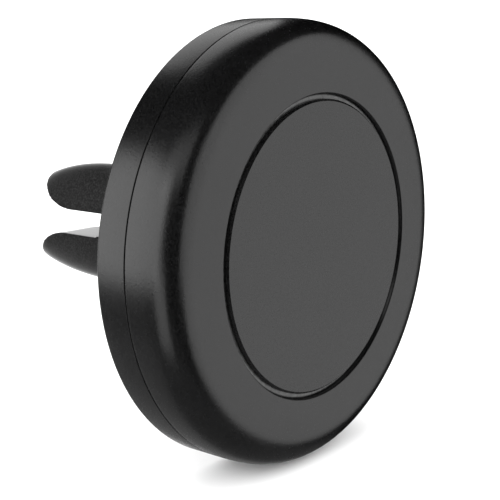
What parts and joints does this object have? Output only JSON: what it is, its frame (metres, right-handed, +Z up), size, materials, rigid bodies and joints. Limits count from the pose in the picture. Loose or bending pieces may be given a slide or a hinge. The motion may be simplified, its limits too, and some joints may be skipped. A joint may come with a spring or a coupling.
{
  "type": "car phone mount",
  "caption": "Round magnetic phone holder on a ball joint, with a ring nut that locks its angle and a two-finger clip that grips a car's vent blade.",
  "frame": {"origin": "centre of the front face, which the phone sticks to", "axes": "-Y out of the face towards the phone, +Y back along the clip, +Z up, across the vent blade's thickness, +X along the vent blade"},
  "size_m": [0.042, 0.0376, 0.042],
  "materials": {
    "shell": "fine matt moulded texture",
    "pad": "soft-touch matt sheet",
    "film": "adhesive film",
    "carrier": "moulded",
    "magnet": "nickel plated",
    "yoke": "zinc plated",
    "foam": "closed-cell foam",
    "screw": "dark zinc",
    "socket": "glass-filled nylon",
    "seat": "acetal",
    "nut": "fine matt moulded texture",
    "ball": "polished",
    "stud": "turned",
    "hub": "fine matt moulded texture",
    "stop": "matt",
    "core": "moulded",
    "leaf": "spring temper",
    "boot": "smooth silicone"
  },
  "bodies": {
    "clip": {"clip_hub": "hub", "ball_stud": "stud", "stud_nut": "screw", "blade_stop": "stop"},
    "ball": {"ball": "ball"},
    "seat": {"ball_seat": "seat"},
    "head": {"front_shell": "shell", "face_pad": "pad", "pad_film": "film", "magnet_carrier": "carrier", "magnets": "magnet", "yoke_plate": "yoke", "foam_disc": "foam", "back_shell": "shell", "shell_screws": "screw", "socket_cup": "socket"},
    "nut": {"lock_nut": "nut"},
    "upper_finger": {"upper_core": "core", "upper_leaf": "leaf", "upper_boot": "boot"},
    "lower_finger": {"lower_core": "core", "lower_leaf": "leaf", "lower_boot": "boot"}
  },
  "joints": [
    {"name": "head_spin", "type": "hinge", "parent": "clip", "child": "ball", "pos_m": [0, 0.0133, 0], "axis": [0, 1, 0], "continuous": true},
    {"name": "head_pan", "type": "hinge", "parent": "ball", "child": "seat", "pos_m": [0, 0.0133, 0], "axis": [0, 0, 1], "range_deg": [-20, 20]},
    {"name": "head_tilt", "type": "hinge", "parent": "seat", "child": "head", "pos_m": [0, 0.0133, 0], "axis": [1, 0, 0], "range_deg": [-20, 20]},
    {"name": "nut_turn", "type": "hinge", "parent": "head", "child": "nut", "pos_m": [0, 0.0133, 0], "axis": [0, 1, 0], "range_deg": [0, 270]},
    {"name": "upper_flex", "type": "hinge", "parent": "clip", "child": "upper_finger", "pos_m": [0, 0.0234, 0.0036], "axis": [1, 0, 0], "range_deg": [0, 5], "stiffness_Nm_per_rad": 0.5},
    {"name": "lower_flex", "type": "hinge", "parent": "clip", "child": "lower_finger", "pos_m": [0, 0.0234, -0.0044], "axis": [-1, 0, 0], "range_deg": [0, 5], "stiffness_Nm_per_rad": 0.5}
  ]
}
